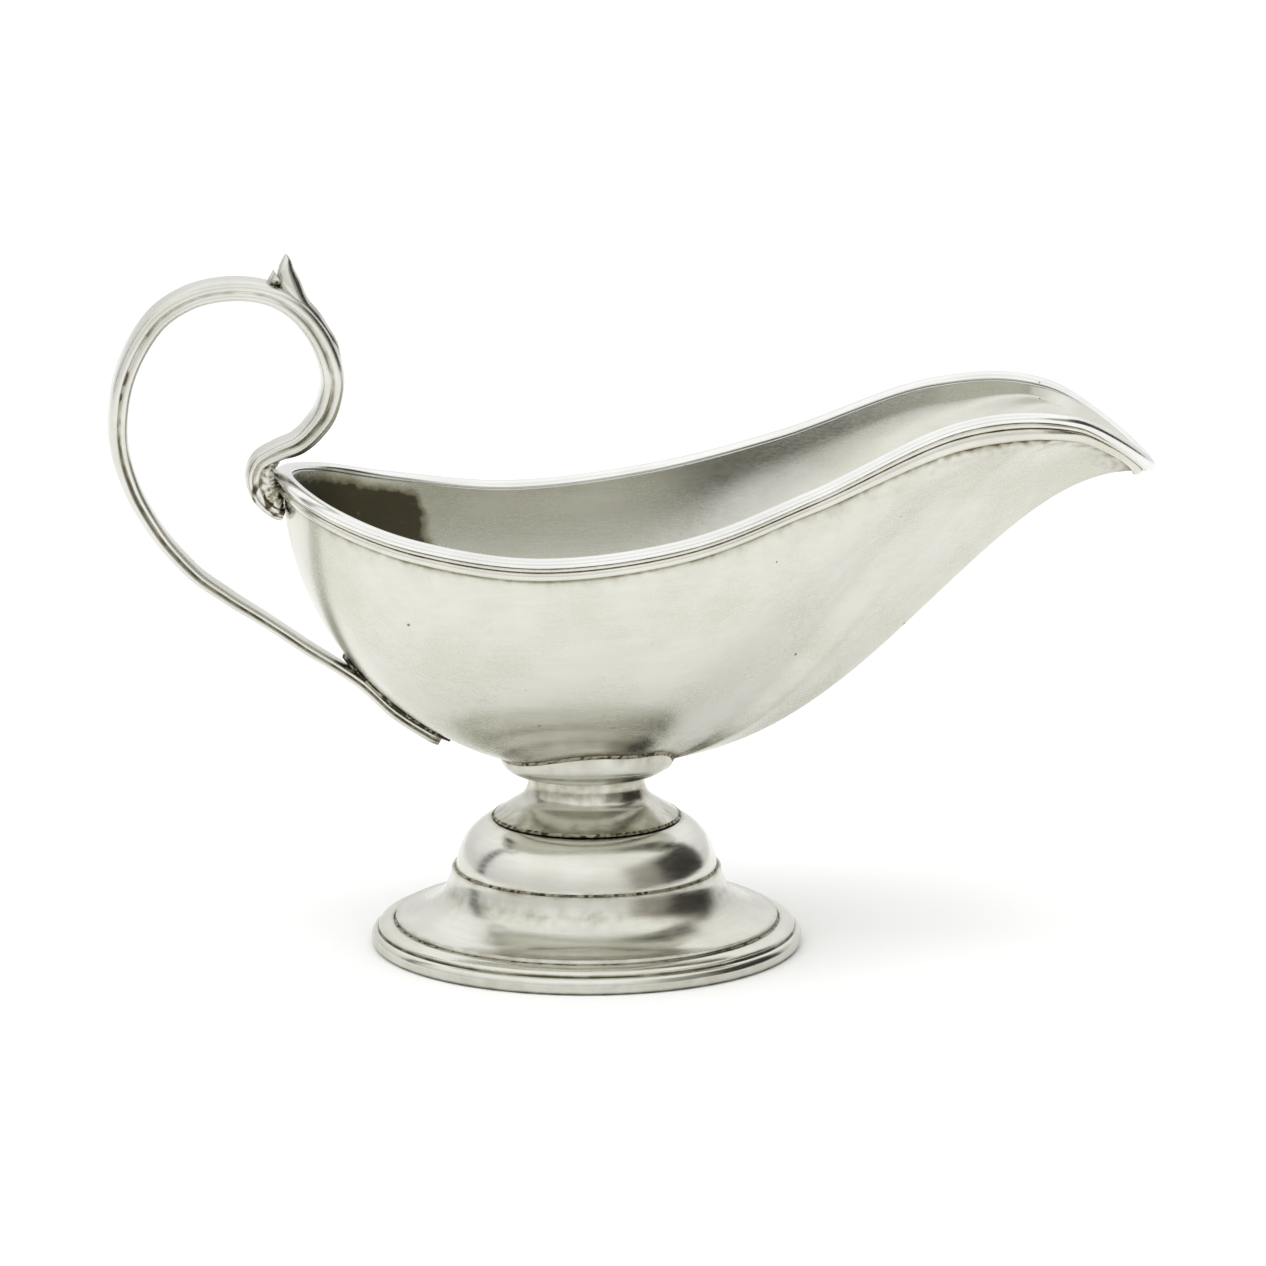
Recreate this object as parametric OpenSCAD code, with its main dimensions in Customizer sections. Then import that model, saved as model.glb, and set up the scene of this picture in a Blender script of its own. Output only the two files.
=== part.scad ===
// Footed sauce boat: open bowl with a spout, reeded lip, looped strap handle, turned foot.
// Frame: +Z up, +X towards the spout, origin on the table under the middle of the foot.
// All sizes are in millimetres.

/* [Bowl] */
// Reach of the lip behind the foot axis
stern_reach = 63.2; // [53:0.1:76]
// Reach of the lip in front of the foot axis, at the spout
spout_reach = 119.2; // [100:0.1:142]
// Greatest breadth across the lip, between its crests
bowl_breadth = 76.6; // [64:0.1:92]
// Height of the bowl's underside above the table
bowl_base = 38; // [36:0.1:46]
// Height of the lip at its lowest, beside the foot
waist_height = 90.9; // [84:0.1:100]
// Height of the lip at the stern
stern_height = 102.3; // [98:0.1:108]
// Height of the lip at the shoulders of the spout
shoulder_height = 114.4; // [108:0.1:122]
// Height of the lip at the spout's tip
tip_height = 99.9; // [97:0.1:106]
// Thickness of the bowl's wall
wall = 1.8; // [1.4:0.1:2.4]
// How sharply the spout's floor curves up
spout_curve = 1.35; // [1.15:0.05:1.5]

/* [Lip] */
// How far the rounded lip stands out beyond its crest
lip_overhang = 1.5; // [1.2:0.1:2]
// Height of the rounded lip
lip_height = 1.9; // [1.5:0.1:2.4]
// Height of the fine reed under the lip
upper_reed = 0.95; // [0.75:0.05:1.2]
// Height of the broader reed below it
lower_reed = 1.85; // [1.5:0.05:2.2]
// How far the reeds stand out from the wall
reed_depth = 1.2; // [0.8:0.1:1.5]
// How far the wall stands back from the lip's crest
wall_setback = 0.4; // [0.2:0.1:0.8]
// Growth of the reeds at the shoulders of the spout
reed_growth = 1.5; // [1:0.05:1.6]
// Growth of the reeds at the spout's tip
tip_growth = 1.2; // [1:0.05:1.3]
// How far the mouldings turn under the spout's tip, in degrees
tip_lean = 70; // [55:1:75]

/* [Handle] */
// Breadth of the handle's strap at the loop
strap_breadth = 9; // [7:0.1:11]
// Thickness of the handle's strap at the loop
strap_thickness = 4; // [3.2:0.1:4.1]
// Thickness of the solder film that holds the handle
film = 0.3; // [0.2:0.05:0.5]

/* [Foot] */
// Largest radius of the foot ring
foot_radius = 44.9; // [43.5:0.1:54]
// Height of the foot ring's top
ring_height = 5.4; // [4.6:0.1:6.4]
// Radius of the skirt's rim
skirt_radius = 39.9; // [33:0.1:41]
// Height of the skirt's rim above the table
skirt_rim_height = 6.3; // [5.6:0.1:7.2]
// Height where the dome stands on the skirt
dome_seat = 16.6; // [14:0.1:18]
// Radius of the dome at its seat
dome_radius = 27.3; // [25:0.1:31]
// Height where the stem stands on the dome
stem_seat = 27.5; // [24.5:0.1:28.5]
// Radius of the stem's base
stem_radius = 19.4; // [17:0.1:22]
// Radius of the stem's neck
neck_radius = 12.1; // [10:0.1:14]
// Drop of the collar's underside below the bowl's
collar_drop = 1; // [0.9:0.1:2]
// Radius of the collar
collar_radius = 18; // [15:0.1:21]
// Thickness of the foot's shells
shell = 2; // [1.6:0.1:2.6]
// Radial gap round each locating spigot
register_gap = 0.05; // [0.02:0.01:0.1]

/* [Hidden] */

$fn = 96;
pewter = [0.76, 0.76, 0.73];
bright_pewter = [0.84, 0.84, 0.81];
solder_grey = [0.55, 0.54, 0.48];

// ---- Curves -------------------------------------------------------------

function mix(a, b, t) = a + (b - a) * t;
function clamped(t) = max(0, min(1, t));
function eased(t) = let (u = clamped(t)) u * u * (3 - 2 * u);
function flip(p) = [p[0], -p[1], p[2]];

// Smooth curve through every point of p except the first and last, which only
// set its end directions. u counts whole steps from one point to the next.
function curve_at(p, u) =
    let (
        i = min(floor(u), len(p) - 4),
        t = u - i,
        a = p[i], b = p[i + 1], c = p[i + 2], d = p[i + 3]
    )
    b + 0.5 * t * ((c - a) + t * (2 * a - 5 * b + 4 * c - d + t * (3 * (b - c) + d - a)));

// The same list with each end carried straight on by one step
function run_on(p) = concat([2 * p[0] - p[1]], p, [2 * p[len(p) - 1] - p[len(p) - 2]]);

// ---- Surfaces -----------------------------------------------------------

// Triangles between ring a and ring b of a closed tube whose rings have n points
function tube_quads(n, a, b) = [
    for (k = [0:n - 1])
        let (k2 = (k + 1) % n)
        each [[a * n + k, a * n + k2, b * n + k2], [a * n + k, b * n + k2, b * n + k]]
];

// Closed solid swept through a list of rings, with a flat face at each end
module swept(rings) {
    n = len(rings[0]);
    last = len(rings) - 1;
    polyhedron(
        points = [for (ring = rings) each ring],
        faces = concat(
            [for (a = [0:last - 1]) each tube_quads(n, a, a + 1)],
            [[for (k = [n - 1:-1:0]) k], [for (k = [0:n - 1]) last * n + k]]
        ),
        convexity = 8
    );
}

// Closed solid swept through a list of rings, with a point at each end
module capped_skin(start, rings, end) {
    n = len(rings[0]);
    last = len(rings) - 1;
    apex = len(rings) * n;
    polyhedron(
        points = concat([for (ring = rings) each ring], [start, end]),
        faces = concat(
            [for (k = [0:n - 1]) [apex, (k + 1) % n, k]],
            [for (a = [0:last - 1]) each tube_quads(n, a, a + 1)],
            [for (k = [0:n - 1]) [apex + 1, last * n + k, last * n + (k + 1) % n]]
        ),
        convexity = 8
    );
}

// ---- Lip line -----------------------------------------------------------

half_breadth = bowl_breadth / 2;
rise = shoulder_height - waist_height;
// Crest of the lip down the left side, from the stern to the spout's tip
lip_stations = [
    [-stern_reach, 0, stern_height],
    [-0.87 * stern_reach, 0.59 * half_breadth, mix(waist_height, stern_height, 0.72)],
    [-0.59 * stern_reach, 0.90 * half_breadth, mix(waist_height, stern_height, 0.28)],
    [-0.19 * stern_reach, 1.00 * half_breadth, waist_height],
    [0.145 * spout_reach, 0.98 * half_breadth, waist_height + 0.14 * rise],
    [0.37 * spout_reach, 0.79 * half_breadth, waist_height + 0.49 * rise],
    [0.63 * spout_reach, 0.60 * half_breadth, shoulder_height],
    [0.84 * spout_reach, 0.48 * half_breadth, shoulder_height - 0.02 * rise],
    [spout_reach, 0, tip_height],
];
lip_last = len(lip_stations) - 1;
lip_guide = concat([flip(lip_stations[1])], lip_stations, [flip(lip_stations[lip_last - 1])]);

side_steps = 48;
ring_steps = 2 * side_steps;
lip_side = [for (i = [0:side_steps]) curve_at(lip_guide, i * lip_last / side_steps)];

// Stations are counted round the lip: stern, left side, tip, right side
function around(list, k) = k <= side_steps ? list[k] : flip(list[ring_steps - k]);
lip_line = [for (k = [0:ring_steps - 1]) around(lip_side, k)];
function lip_at(k) = lip_line[(k + ring_steps) % ring_steps];
// Level direction square to the lip, pointing away from the bowl
function outward(k) =
    let (d = lip_at(k + 1) - lip_at(k - 1))
    [-d[1], d[0], 0] / norm([d[0], d[1]]);
// Share of the spout's own curve at a station: none beside the foot, all of it at the tip
function spout_share(k) = eased((lip_at(k)[0] / spout_reach - 0.08) / 0.85);
// Turn of the wall and its mouldings at a station: upright, but flat under the spout's tip
function lean(k) = tip_lean * eased((lip_at(k)[0] / spout_reach - 0.78) / 0.22);
function growth(k) =
    let (
        place = lip_at(k)[0] / spout_reach,
        shoulder = mix(1, reed_growth, eased((place - 0.3) / 0.34))
    )
    mix(shoulder, tip_growth, eased((place - 0.68) / 0.18));

// Point beside the lip: across is measured out from the crest and down from its top,
// both turned by the wall's lean
function lip_point(k, across, down) =
    let (
        tilt = lean(k),
        depth = min(down, lip_height) + growth(k) * max(0, down - lip_height)
    )
    lip_at(k)
    + (across * cos(tilt) - depth * sin(tilt)) * outward(k)
    - [0, 0, across * sin(tilt) + depth * cos(tilt)];

wall_out = -wall_setback;
wall_in = wall_out - wall;
reeds_height = upper_reed + lower_reed;

// ---- Bowl ---------------------------------------------------------------

// Point on a bowl surface that ends at edge. The turn runs from 0 at the base to 90 at the edge.
function bowl_point(edge, base, turn, share) =
    let (
        reach = sin(turn),
        round_rise = 1 - pow(cos(turn), 1.06),
        spout_rise = pow(sin(90 * pow(reach, spout_curve)), 2)
    )
    [edge[0] * reach, edge[1] * reach, mix(base, edge[2], mix(round_rise, spout_rise, share))];

function outer_edge(k) = lip_point(k, wall_out, lip_height + reeds_height);
function inner_edge(k) =
    lip_point(k, wall_in, lip_height + reeds_height)
    + [0, 0, wall * spout_share(k) * (1 - lean(k) / tip_lean)];
function outer_ring(turn) = [
    for (k = [0:ring_steps - 1]) bowl_point(outer_edge(k), bowl_base, turn, spout_share(k))
];
function inner_ring(turn) = [
    for (k = [0:ring_steps - 1])
        bowl_point(inner_edge(k), bowl_base + wall, turn, spout_share(k))
];
function band_ring(across, down) = [for (k = [0:ring_steps - 1]) lip_point(k, across, down)];

outer_rows = 15;
inner_rows = 12;

module body_shell() {
    color(pewter)
        capped_skin(
            [0, 0, bowl_base],
            concat(
                [for (j = [1:outer_rows]) outer_ring(90 * j / outer_rows)],
                [band_ring(wall_out, lip_height + upper_reed), band_ring(wall_out, lip_height)],
                [band_ring(wall_in, lip_height)],
                [for (j = [inner_rows:-1:1]) inner_ring(90 * j / inner_rows)]
            ),
            [0, 0, bowl_base + wall]
        );
}

// Solid with the lower part of the bowl's outer skin, for cutting what is fitted to it
module bowl_underside(rows) {
    capped_skin(
        [0, 0, bowl_base],
        [for (j = [1:rows]) outer_ring(90 * j / outer_rows)],
        [0, 0, bowl_base + 60]
    );
}

// ---- Lip and reeds ------------------------------------------------------

// Section of the lip as [across, down], with a flat bed on the wall's edge
lip_arc_steps = 8;
lip_section = concat(
    [[wall_in, lip_height]],
    [
        for (j = [0:lip_arc_steps])
            let (
                turn = -30 + 240 * j / lip_arc_steps,
                half = cos(turn) > 0 ? -wall_in : lip_overhang
            )
            [-half * cos(turn), lip_height * (0.62 - 0.62 * sin(turn))]
    ],
    [[wall_out, lip_height]]
);

// Share of a reed's depth that is left in the groove beside it
reed_fillet = 0.5;

// Section of a reed between two depths, with its back on the bowl's wall
function reed_section(top, bottom) =
    let (middle = (top + bottom) / 2, half = (bottom - top) / 2)
    [
        [wall_out, top],
        for (turn = [-90:36:90])
            [
                wall_out + reed_depth * (reed_fillet + (1 - reed_fillet) * cos(turn)),
                middle + half * sin(turn),
            ],
        [wall_out, bottom],
    ];

module moulding(section, first, count = side_steps) {
    swept([
        for (k = [first:first + count])
            [for (p = section) lip_point(k, p[0], p[1])]
    ]);
}

upper_reed_section = reed_section(lip_height, lip_height + upper_reed);
lower_reed_section = reed_section(lip_height + upper_reed, lip_height + reeds_height);

module lip_wire_left() {
    color(bright_pewter) moulding(lip_section, 0);
}

module lip_wire_right() {
    color(bright_pewter) moulding(lip_section, side_steps);
}

module upper_reed_left() {
    color(pewter) moulding(upper_reed_section, 0);
}

module upper_reed_right() {
    color(pewter) moulding(upper_reed_section, side_steps);
}

module lower_reed_left() {
    color(pewter) moulding(lower_reed_section, 0);
}

module lower_reed_right() {
    color(pewter) moulding(lower_reed_section, side_steps);
}

// ---- Handle -------------------------------------------------------------

// Strap section as [share of half breadth, share of half thickness], outer face first.
// A groove runs along each side face and leaves a bead on the inner edge.
strap_half = [
    [0.70, 1.00], [0.92, 0.82], [1.00, 0.50], [0.99, 0.30], [0.90, 0.10], [0.90, -0.08],
    [0.97, -0.28], [0.96, -0.62], [0.80, -0.92], [0.50, -1.00],
];
strap_section = concat(
    strap_half,
    [for (j = [len(strap_half) - 1:-1:0]) [-strap_half[j][0], strap_half[j][1]]]
);

// Tail of the handle on the outside of the stern: a turn on the bowl's skin gives the place
stern_edge = outer_edge(0);
function stern_spot(turn, gap) =
    let (
        spot = bowl_point(stern_edge, bowl_base, turn, 0),
        away = [
            -(stern_edge[2] - bowl_base) * sin(turn),
            0,
            stern_edge[0] * cos(turn)
        ]
    )
    spot + gap * away / norm(away);

tail_thickness = 0.6 * strap_thickness;
tail_breadth = 0.8 * strap_breadth;
function tail_station(turn, breadth) =
    let (spot = stern_spot(turn, film + tail_thickness / 2))
    [spot[0], spot[2], breadth, tail_thickness];

// Places on the loop keep their distance from the stern's lip
function loop_station(back, up, breadth, thickness) = [
    -stern_reach - back,
    stern_height + up,
    breadth * strap_breadth,
    thickness * strap_thickness,
];

// Middle line of the strap as [x, z, breadth, thickness], from the tail round to the stern
handle_stations = [
    tail_station(28.5, 0.5 * tail_breadth),
    tail_station(31, 0.9 * tail_breadth),
    tail_station(39, tail_breadth),
    tail_station(48, tail_breadth),
    loop_station(-5.2, -37.8, 0.84, 0.62),
    loop_station(3.4, -31.8, 0.88, 0.64),
    loop_station(11.8, -26.2, 0.92, 0.68),
    loop_station(18.4, -21.2, 0.95, 0.74),
    loop_station(25.5, -13, 0.98, 0.82),
    loop_station(31.2, -2.7, 1, 0.9),
    loop_station(33.8, 8, 1, 0.98),
    loop_station(32.4, 20.2, 1, 1.06),
    loop_station(26.7, 31.1, 1, 1.1),
    loop_station(19.2, 36.6, 1, 1.1),
    loop_station(10.4, 38.4, 1, 1.1),
    loop_station(2.2, 37.2, 1, 1.1),
    loop_station(-3.8, 33.3, 1, 1.1),
    loop_station(-8.3, 27, 1, 1.13),
    loop_station(-10.5, 19.6, 1, 1.2),
    loop_station(-9.3, 13, 0.98, 1.2),
    loop_station(-6.6, 8.8, 0.96, 1.15),
    loop_station(-3.2, 5.8, 0.94, 1.08),
    loop_station(0.8, 4.3, 0.92, 0.95),
    loop_station(4.7, 2.1, 0.9, 0.85),
    loop_station(5.9, -1.6, 0.88, 0.8),
    loop_station(4.6, -5.6, 0.86, 0.75),
    loop_station(1.6, -8.4, 0.84, 0.7),
    loop_station(-0.1, -9.1, 0.8, 0.6),
];
handle_guide = run_on(handle_stations);

// Rings of a strap whose middle line follows guide
function strap_rings(guide, section, steps) =
    let (last = len(guide) - 3)
    [
        for (i = [0:steps])
            let (
                u = i * last / steps,
                here = curve_at(guide, u),
                ahead = curve_at(guide, min(u + 0.05, last)),
                behind = curve_at(guide, max(u - 0.05, 0)),
                run = [ahead[0] - behind[0], ahead[1] - behind[1]],
                out = [-run[1], run[0]] / norm(run)
            )
            [
                for (p = section)
                    [
                        here[0] + out[0] * p[1] * here[3] / 2,
                        p[0] * here[2] / 2,
                        here[1] + out[1] * p[1] * here[3] / 2,
                    ]
            ]
    ];

handle_steps = 78;

module strap() {
    swept(strap_rings(handle_guide, strap_section, handle_steps));
}

module handle() {
    color(pewter) strap();
}

// ---- Thumb spur ---------------------------------------------------------

// Rounded section for the spur and for lumps of solder
round_section = [for (turn = [324:-36:0]) [cos(turn), sin(turn)]];

// Middle line of the spur as [x, z, breadth, thickness], from its tail to its tip
spur_stations = [
    loop_station(-12.2, 22.6, 0.3, 0.2),
    loop_station(-11.3, 26, 0.45, 0.35),
    loop_station(-9.4, 29, 0.6, 0.5),
    loop_station(-7.1, 32.1, 0.7, 0.7),
    loop_station(-4.3, 35.2, 0.7, 0.85),
    loop_station(-2, 38.8, 0.66, 1.2),
    loop_station(-1.2, 41.7, 0.52, 0.95),
    loop_station(-1.2, 44, 0.34, 0.55),
    loop_station(-1.1, 45.4, 0.12, 0.14),
];

module spur_body() {
    swept(strap_rings(run_on(spur_stations), round_section, 18));
}

module thumb_spur() {
    color(pewter) difference() {
        spur_body();
        strap();
    }
}

// ---- Solder on the handle -----------------------------------------------

module solder_spur() {
    stations = [
        loop_station(3.2, 39.6, 0.3, 0.25),
        loop_station(1.9, 39.8, 0.5, 0.45),
        loop_station(0.6, 40, 0.6, 0.6),
    ];
    color(solder_grey) difference() {
        swept(strap_rings(run_on(stations), round_section, 6));
        strap();
        spur_body();
    }
}

module solder_handle_top() {
    stations = [
        loop_station(1.4, 2.8, 0.7, 0.7),
        loop_station(3.2, 0.8, 0.85, 1.1),
        loop_station(3, -3, 0.85, 1.4),
        loop_station(1.6, -6.4, 0.75, 1.1),
        loop_station(0.6, -8, 0.6, 0.6),
    ];
    stern = -6;
    color(solder_grey) difference() {
        swept(strap_rings(run_on(stations), round_section, 10));
        strap();
        bowl_underside(outer_rows);
        moulding(lip_section, stern, -2 * stern);
        moulding(upper_reed_section, stern, -2 * stern);
        moulding(lower_reed_section, stern, -2 * stern);
    }
}

module solder_handle_tail() {
    stations = [
        for (turn = [27, 29, 34, 40, 46, 50, 53])
            let (
                spot = stern_spot(turn, 0.2),
                swell = sin(180 * (turn - 24) / 31)
            )
            [spot[0], spot[2], tail_breadth * mix(0.6, 1.1, swell), mix(0.8, 2.4, swell)]
    ];
    color(solder_grey) difference() {
        swept(strap_rings(run_on(stations), round_section, 12));
        strap();
        bowl_underside(outer_rows);
    }
}

// ---- Turned foot --------------------------------------------------------

// Points on a quarter of an ellipse round centre, between two turns
function arc_points(centre, radii, from, to, steps = 10) = [
    for (j = [0:steps])
        let (turn = mix(from, to, j / steps))
        [centre[0] + radii[0] * cos(turn), centre[1] + radii[1] * sin(turn)]
];

stem_spigot = 0.5 * neck_radius;
stem_spigot_length = 0.8;
spigot_length = 2;
collar_seat = bowl_base - collar_drop;
collar_top = bowl_base + 8;
collar_belly = collar_seat + 4;
collar_round = [2.5, 3];
dome_spigot = 0.5 * stem_radius;
skirt_spigot = dome_radius - shell;

module collar_blank() {
    rotate_extrude()
        polygon(concat(
            [[stem_spigot + register_gap, collar_top], [stem_spigot + register_gap, collar_seat]],
            [[neck_radius, collar_seat]],
            arc_points([collar_radius - collar_round[0], collar_belly], collar_round, -90, 0),
            [[collar_radius, collar_top]]
        ));
}

module collar() {
    color(pewter) difference() {
        collar_blank();
        bowl_underside(6);
    }
}

module solder_collar() {
    color(solder_grey) difference() {
        intersection() {
            translate([0, 0, collar_seat])
                cylinder(h = collar_top - collar_seat, r = collar_radius + 0.5);
            translate([0, 0, -0.7]) bowl_underside(6);
        }
        translate([0, 0, collar_seat - 1])
            cylinder(h = collar_top - collar_seat + 2, r = collar_radius);
        bowl_underside(6);
    }
}

module stem() {
    scotia_radius = 4;
    scotia = [neck_radius + scotia_radius, mix(stem_seat, collar_seat, 0.75)];
    color(pewter) rotate_extrude()
        polygon(concat(
            [
                [0, stem_seat - spigot_length],
                [dome_spigot, stem_seat - spigot_length],
                [dome_spigot, stem_seat],
                [stem_radius, stem_seat],
                [stem_radius, stem_seat + 0.3],
            ],
            arc_points(scotia, [scotia_radius, scotia_radius], 235, 180),
            [
                [neck_radius, collar_seat],
                [stem_spigot, collar_seat],
                [stem_spigot, collar_seat + stem_spigot_length],
                [0, collar_seat + stem_spigot_length],
            ]
        ));
}

module solder_bead(radius, height, size) {
    color(solder_grey) rotate_extrude()
        polygon([[radius, height], [radius + size, height], [radius, height + size]]);
}

module solder_stem() {
    solder_bead(stem_radius, stem_seat, 0.5);
}

module dome() {
    centre = [dome_radius - 10, dome_seat - 1.1];
    height = stem_seat - centre[1];
    start = asin(1.1 / height);
    color(pewter) rotate_extrude()
        polygon(concat(
            [
                [dome_spigot + register_gap, stem_seat],
                [dome_spigot + register_gap, stem_seat - shell],
            ],
            arc_points(centre, [10 - shell, height - shell], 90, 12),
            [
                [skirt_spigot - shell, dome_seat],
                [skirt_spigot - shell, dome_seat - spigot_length],
                [skirt_spigot, dome_seat - spigot_length],
                [skirt_spigot, dome_seat],
            ],
            arc_points(centre, [10, height], start, 90, 14)
        ));
}

module solder_dome() {
    solder_bead(dome_radius, dome_seat, 0.5);
}

ring_seat = 4;

module skirt() {
    top_radius = dome_radius + 0.7;
    flare = [skirt_radius - top_radius + 0.6, dome_seat + 0.9 - skirt_rim_height];
    centre = [skirt_radius + 0.6, dome_seat + 0.9];
    color(pewter) rotate_extrude()
        polygon(concat(
            [
                [skirt_spigot + register_gap, dome_seat],
                [skirt_spigot + register_gap, dome_seat - spigot_length - 0.5],
            ],
            arc_points(centre, [flare[0] + shell, flare[1] + shell], 215, 254),
            [
                [skirt_radius - 2 * shell, ring_seat],
                [skirt_radius, ring_seat],
                [skirt_radius, skirt_rim_height],
            ],
            arc_points(centre, flare, 266, 184.6, 14),
            [[top_radius, dome_seat]]
        ));
}

module solder_skirt() {
    color(solder_grey) rotate_extrude()
        polygon([
            [skirt_radius, ring_seat],
            [skirt_radius + 0.4, ring_seat],
            [skirt_radius + 0.4, ring_height - 0.2],
            [skirt_radius, ring_height + 0.1],
        ]);
}

module foot_ring() {
    rebate = skirt_radius + 0.4;
    step_radius = foot_radius - 1.5;
    step_height = 3.6;
    color(pewter) rotate_extrude()
        polygon(concat(
            [
                [skirt_radius - 2.4, 0],
                [foot_radius - 1.3, 0],
            ],
            arc_points([foot_radius - 1.3, 1.8], [1.3, 1.8], -90, 78, 12),
            [[step_radius, step_height - 0.1], [step_radius, step_height + 0.2]],
            arc_points([rebate + 0.3, step_height], [step_radius - rebate, ring_height - step_height],
                20, 90, 8),
            [
                [rebate, ring_height],
                [rebate, ring_seat],
                [skirt_radius - 1.6, ring_seat],
                [skirt_radius - 1.6, 1.4],
                [skirt_radius - 2.4, 0.6],
            ]
        ));
}

// ---- Assembly -----------------------------------------------------------

body_shell();
lip_wire_left();
lip_wire_right();
upper_reed_left();
upper_reed_right();
lower_reed_left();
lower_reed_right();
handle();
thumb_spur();
solder_spur();
solder_handle_top();
solder_handle_tail();
collar();
solder_collar();
stem();
solder_stem();
dome();
solder_dome();
skirt();
solder_skirt();
foot_ring();
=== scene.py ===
"""Looks of a footed pewter sauce boat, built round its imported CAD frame.

Shapes are worked out in millimetres, as in the CAD source, and written to meshes in metres.
"""
import math

import bmesh
import bpy
import numpy as np
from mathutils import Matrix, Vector, noise


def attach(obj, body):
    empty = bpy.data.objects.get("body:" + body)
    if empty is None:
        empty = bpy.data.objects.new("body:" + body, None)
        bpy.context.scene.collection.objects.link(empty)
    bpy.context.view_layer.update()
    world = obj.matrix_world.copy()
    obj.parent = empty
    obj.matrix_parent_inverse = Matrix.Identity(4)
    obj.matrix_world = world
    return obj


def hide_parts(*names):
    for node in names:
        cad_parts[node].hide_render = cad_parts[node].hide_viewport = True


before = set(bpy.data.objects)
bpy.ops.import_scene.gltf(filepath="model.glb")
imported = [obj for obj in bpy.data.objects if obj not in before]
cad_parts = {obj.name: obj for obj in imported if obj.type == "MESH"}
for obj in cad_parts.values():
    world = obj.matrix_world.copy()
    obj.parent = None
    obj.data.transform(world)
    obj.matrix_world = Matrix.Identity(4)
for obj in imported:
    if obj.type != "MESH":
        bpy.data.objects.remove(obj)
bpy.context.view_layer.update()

# ---- Sizes in millimetres, as in part.scad ---------------------------------

STERN_REACH, SPOUT_REACH, HALF_BREADTH = 63.2, 119.2, 38.3
BOWL_BASE, WAIST, STERN, SHOULDER, TIP = 38.0, 90.9, 102.3, 114.4, 99.9
WALL, SPOUT_CURVE = 1.8, 1.35
LIP_OVERHANG, LIP_HEIGHT, UPPER_REED, LOWER_REED = 1.5, 1.9, 0.95, 1.85
REED_DEPTH, REED_FILLET, WALL_SETBACK = 1.2, 0.5, 0.4
REED_GROWTH, TIP_GROWTH, TIP_LEAN = 1.5, 1.2, 70.0
STRAP_BREADTH, STRAP_THICKNESS, FILM = 9.0, 4.0, 0.3
FOOT_RADIUS, RING_HEIGHT, SKIRT_RADIUS, SKIRT_RIM = 44.9, 5.4, 39.9, 6.3
DOME_SEAT, DOME_RADIUS, STEM_SEAT, STEM_RADIUS = 16.6, 27.3, 27.5, 19.4
NECK_RADIUS, COLLAR_SEAT, COLLAR_RADIUS, SHELL, GAP = 12.1, 37.0, 18.0, 2.0, 0.05
SIDE_STEPS = 240  # stations down each side of the lip
LATHE_STEPS = 288  # stations round a turned piece


# ---- Curves ----------------------------------------------------------------


def mix(a, b, t):
    return a + (b - a) * t


def eased(t):
    u = np.clip(t, 0, 1)
    return u * u * (3 - 2 * u)


def curve_at(points, u):
    """Smooth curve through every point except the first and last, which set its end directions."""
    points, u = np.asarray(points, float), np.asarray(u, float)
    i = np.minimum(u.astype(int), len(points) - 4)
    t = (u - i)[..., None]
    a, b, c, d = points[i], points[i + 1], points[i + 2], points[i + 3]
    return b + 0.5 * t * ((c - a) + t * (2 * a - 5 * b + 4 * c - d + t * (3 * (b - c) + d - a)))


def run_on(points):
    points = np.asarray(points, float)
    return np.vstack([2 * points[0] - points[1], points, 2 * points[-1] - points[-2]])


def arc(centre, radii, start, end, steps=24):
    turn = np.radians(np.linspace(start, end, steps + 1))
    return [(centre[0] + radii[0] * math.cos(t), centre[1] + radii[1] * math.sin(t)) for t in turn]


def rounded(profile, radius, least_turn=25, steps=5):
    """A closed profile with its sharp corners rounded."""
    made, count = [], len(profile)
    for i in range(count):
        before, here, after = (np.array(profile[(i + j) % count]) for j in (-1, 0, 1))
        back, ahead = before - here, after - here
        lengths = np.linalg.norm(back), np.linalg.norm(ahead)
        if min(lengths) < 1e-6:
            continue
        back, ahead = back / lengths[0], ahead / lengths[1]
        turn = 180 - math.degrees(math.acos(np.clip(back @ ahead, -1, 1)))
        if turn < least_turn:
            made.append(tuple(here))
            continue
        cut = min(radius, 0.42 * lengths[0], 0.42 * lengths[1])
        for t in np.linspace(0, 1, steps + 1):
            first, second = mix(here + cut * back, here, t), mix(here, here + cut * ahead, t)
            made.append(tuple(mix(first, second, t)))
    return made


def noise_at(points, size, seed=0.0):
    """Smooth noise from -1 to 1 whose lumps are about size across."""
    scaled = np.asarray(points, float).reshape(-1, 3) / size + seed
    return np.array([noise.noise(Vector(p)) for p in scaled])


# ---- Meshes ----------------------------------------------------------------


def piece(name, node, slot, material, points, faces, patina, crease=38):
    """A closed mesh that stands for a CAD node. Patina runs from 0, rubbed clean, to 1, dark; on the bowl's
    inside and the stem it also holds painted reflection.
    """
    mesh = bpy.data.meshes.new(name)
    mesh.from_pydata((np.asarray(points) * 0.001).tolist(), [], faces)
    work = bmesh.new()
    work.from_mesh(mesh)
    bmesh.ops.recalc_face_normals(work, faces=work.faces)
    work.to_mesh(mesh)
    work.free()
    attribute = mesh.attributes.new("patina", "FLOAT", "POINT")
    attribute.data.foreach_set("value", np.clip(patina, 0, 1).astype(np.float32))
    mesh.shade_smooth()
    mesh.set_sharp_from_angle(angle=math.radians(crease))
    mesh.materials.append(material)
    made = bpy.data.objects.new(name, mesh)
    bpy.context.scene.collection.objects.link(made)
    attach(made, "root")
    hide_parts(node)
    return made


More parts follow.
